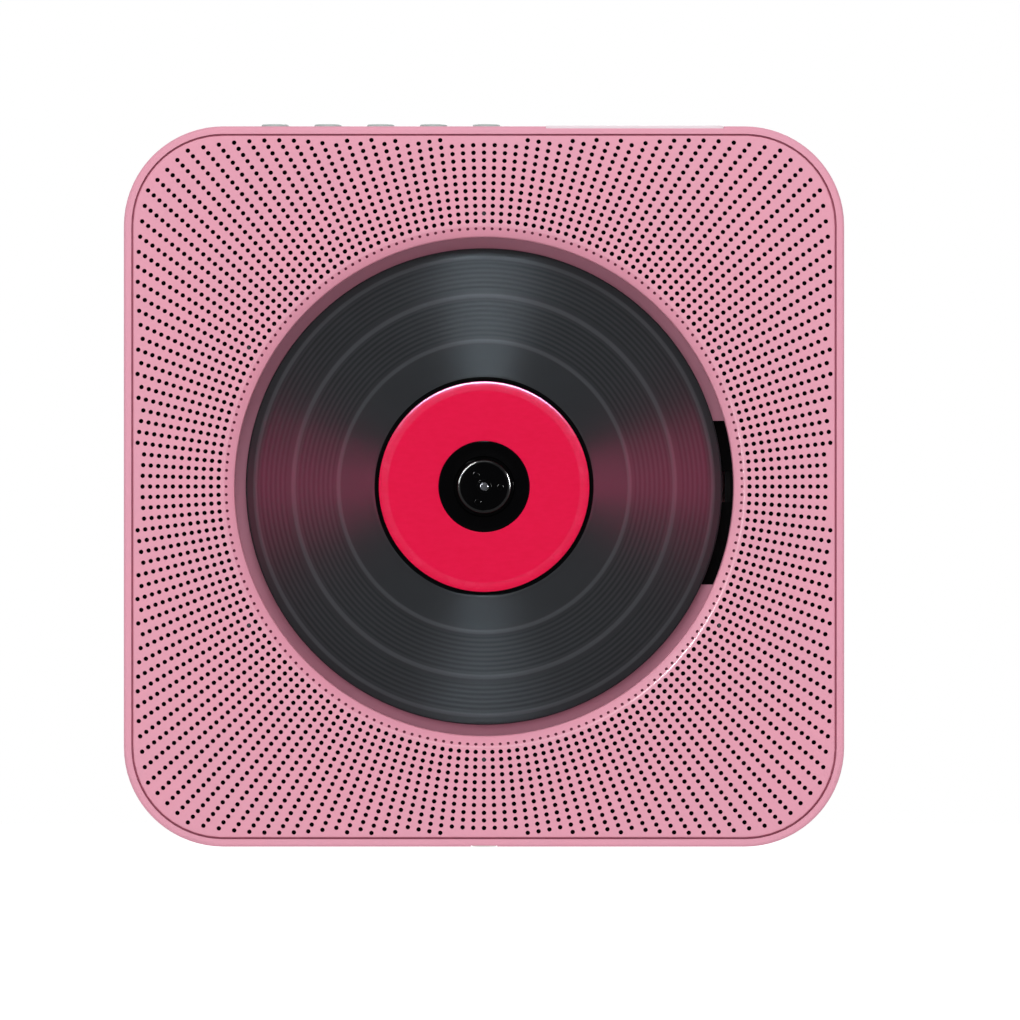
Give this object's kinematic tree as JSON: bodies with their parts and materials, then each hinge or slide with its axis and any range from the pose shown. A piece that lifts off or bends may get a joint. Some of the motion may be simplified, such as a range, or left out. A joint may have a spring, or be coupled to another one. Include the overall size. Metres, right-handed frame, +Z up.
{
  "type": "wall mounted cd player",
  "caption": "Square wall mounted player with a perforated front round an open disc well, buttons along the top, speakers inside and a wall bracket with hanging studs.",
  "frame": {"origin": "in line with the disc's axis, on the wall, at the back face of the wall bracket", "axes": "+Z up, +X to the right seen from the front, the front faces -Y and the wall is at y = 0"},
  "size_m": [0.181, 0.041, 0.1824],
  "materials": {
    "pink_case": "fine satin pink moulding",
    "black_plastic": "matt black moulding",
    "dark_grey_plastic": "satin dark grey moulding",
    "steel": "zinc plated",
    "bright_steel": "polished",
    "brass": "turned",
    "rubber": "soft black rubber",
    "disc": "charcoal disc with fine rings and a plain red label",
    "lens": "coated lens",
    "board": "green circuit board",
    "chip": "black component body",
    "capacitor": "blue sleeved can",
    "socket": "cream connector",
    "pale_button": "pale grey-green cap",
    "window": "pale clear window",
    "magnet": "dark ferrite and plated yoke",
    "cone": "black paper cone",
    "ivory": "pale moulding"
  },
  "bodies": {
    "bracket": {"wall_bracket": "steel"},
    "player": {"back_cover": "pink_case", "case_frame": "pink_case", "front_grille": "pink_case", "baffle": "black_plastic", "disc_well": "pink_case", "well_floor": "pink_case", "mechanism_deck": "black_plastic", "mechanism_cover": "black_plastic", "deck_dampers": "rubber", "deck_screws": "steel", "spindle_motor": "steel", "main_rod": "bright_steel", "side_rod": "bright_steel", "sled_motor": "steel", "main_board": "board", "board_chips": "chip", "board_capacitors": "capacitor", "board_sockets": "socket", "board_screws": "steel", "button_board": "board", "tact_switches": "chip", "display_window": "window", "display_module": "dark_grey_plastic", "speaker_basket_left": "black_plastic", "speaker_basket_right": "black_plastic", "speaker_magnet_left": "magnet", "speaker_magnet_right": "magnet", "speaker_surround_left": "rubber", "speaker_surround_right": "rubber", "case_screws": "steel", "well_screws": "steel", "wall_pads": "rubber", "cord_eyelet": "ivory", "pull_switch": "dark_grey_plastic", "power_socket": "black_plastic"},
    "turntable": {"spindle_shaft": "bright_steel", "turntable": "dark_grey_plastic", "turntable_mat": "rubber"},
    "claw_1": {"chuck_claw_1": "bright_steel"},
    "claw_2": {"chuck_claw_2": "bright_steel"},
    "claw_3": {"chuck_claw_3": "bright_steel"},
    "disc": {"compact_disc": "disc"},
    "sled": {"pickup_sled": "dark_grey_plastic"},
    "lens": {"objective_lens": "lens"},
    "screw": {"lead_screw": "brass"},
    "button_1": {"button_1": "pale_button"},
    "button_2": {"button_2": "pale_button"},
    "button_3": {"button_3": "pale_button"},
    "button_4": {"button_4": "pale_button"},
    "button_5": {"button_5": "pale_button"},
    "cone_left": {"speaker_cone_left": "cone"},
    "cone_right": {"speaker_cone_right": "cone"},
    "pull": {"pull_slider": "ivory"}
  },
  "joints": [
    {"name": "lift_off", "type": "slide", "parent": "bracket", "child": "player", "axis": [0, 0, 1], "range_m": [0, 0.009]},
    {"name": "disc_spin", "type": "hinge", "parent": "player", "child": "turntable", "pos_m": [0, -0.033, 0], "axis": [0, -1, 0], "continuous": true},
    {"name": "disc_lift", "type": "slide", "parent": "turntable", "child": "disc", "axis": [0, -1, 0], "range_m": [0, 0.03]},
    {"name": "claw_1_press", "type": "slide", "parent": "turntable", "child": "claw_1", "axis": [-1, 0, 0], "range_m": [0, 0.0006], "stiffness_N_per_m": 300, "springref_m": -0.0004},
    {"name": "claw_2_press", "type": "slide", "parent": "turntable", "child": "claw_2", "axis": [0.5, 0, -0.866], "range_m": [0, 0.0006], "stiffness_N_per_m": 300, "springref_m": -0.0004},
    {"name": "claw_3_press", "type": "slide", "parent": "turntable", "child": "claw_3", "axis": [0.5, 0, 0.866], "range_m": [0, 0.0006], "stiffness_N_per_m": 300, "springref_m": -0.0004},
    {"name": "sled_travel", "type": "slide", "parent": "player", "child": "sled", "axis": [1, 0, 0], "range_m": [0, 0.033]},
    {"name": "screw_spin", "type": "hinge", "parent": "player", "child": "screw", "pos_m": [0.02, -0.0214, -0.026], "axis": [1, 0, 0], "range_deg": [-10, 3970]},
    {"name": "lens_focus", "type": "slide", "parent": "sled", "child": "lens", "axis": [0, -1, 0], "range_m": [-0.0006, 0.0006], "stiffness_N_per_m": 60},
    {"name": "button_1_press", "type": "slide", "parent": "player", "child": "button_1", "axis": [0, 0, -1], "range_m": [0, 0.0005], "stiffness_N_per_m": 500, "springref_m": -0.0006},
    {"name": "button_2_press", "type": "slide", "parent": "player", "child": "button_2", "axis": [0, 0, -1], "range_m": [0, 0.0005], "stiffness_N_per_m": 500, "springref_m": -0.0006},
    {"name": "button_3_press", "type": "slide", "parent": "player", "child": "button_3", "axis": [0, 0, -1], "range_m": [0, 0.0005], "stiffness_N_per_m": 500, "springref_m": -0.0006},
    {"name": "button_4_press", "type": "slide", "parent": "player", "child": "button_4", "axis": [0, 0, -1], "range_m": [0, 0.0005], "stiffness_N_per_m": 500, "springref_m": -0.0006},
    {"name": "button_5_press", "type": "slide", "parent": "player", "child": "button_5", "axis": [0, 0, -1], "range_m": [0, 0.0005], "stiffness_N_per_m": 500, "springref_m": -0.0006},
    {"name": "cone_left_stroke", "type": "slide", "parent": "player", "child": "cone_left", "axis": [0, -1, 0], "range_m": [-0.0008, 0.0008], "stiffness_N_per_m": 800},
    {"name": "cone_right_stroke", "type": "slide", "parent": "player", "child": "cone_right", "axis": [0, -1, 0], "range_m": [-0.0008, 0.0008], "stiffness_N_per_m": 800},
    {"name": "pull_cord_switch", "type": "slide", "parent": "player", "child": "pull", "axis": [0, 0, -1], "range_m": [0, 0.0035], "stiffness_N_per_m": 150, "springref_m": -0.003}
  ],
  "couplings": [
    {"joint": "screw_spin", "follows": "sled_travel", "rad_per_m": 2094.4}
  ]
}
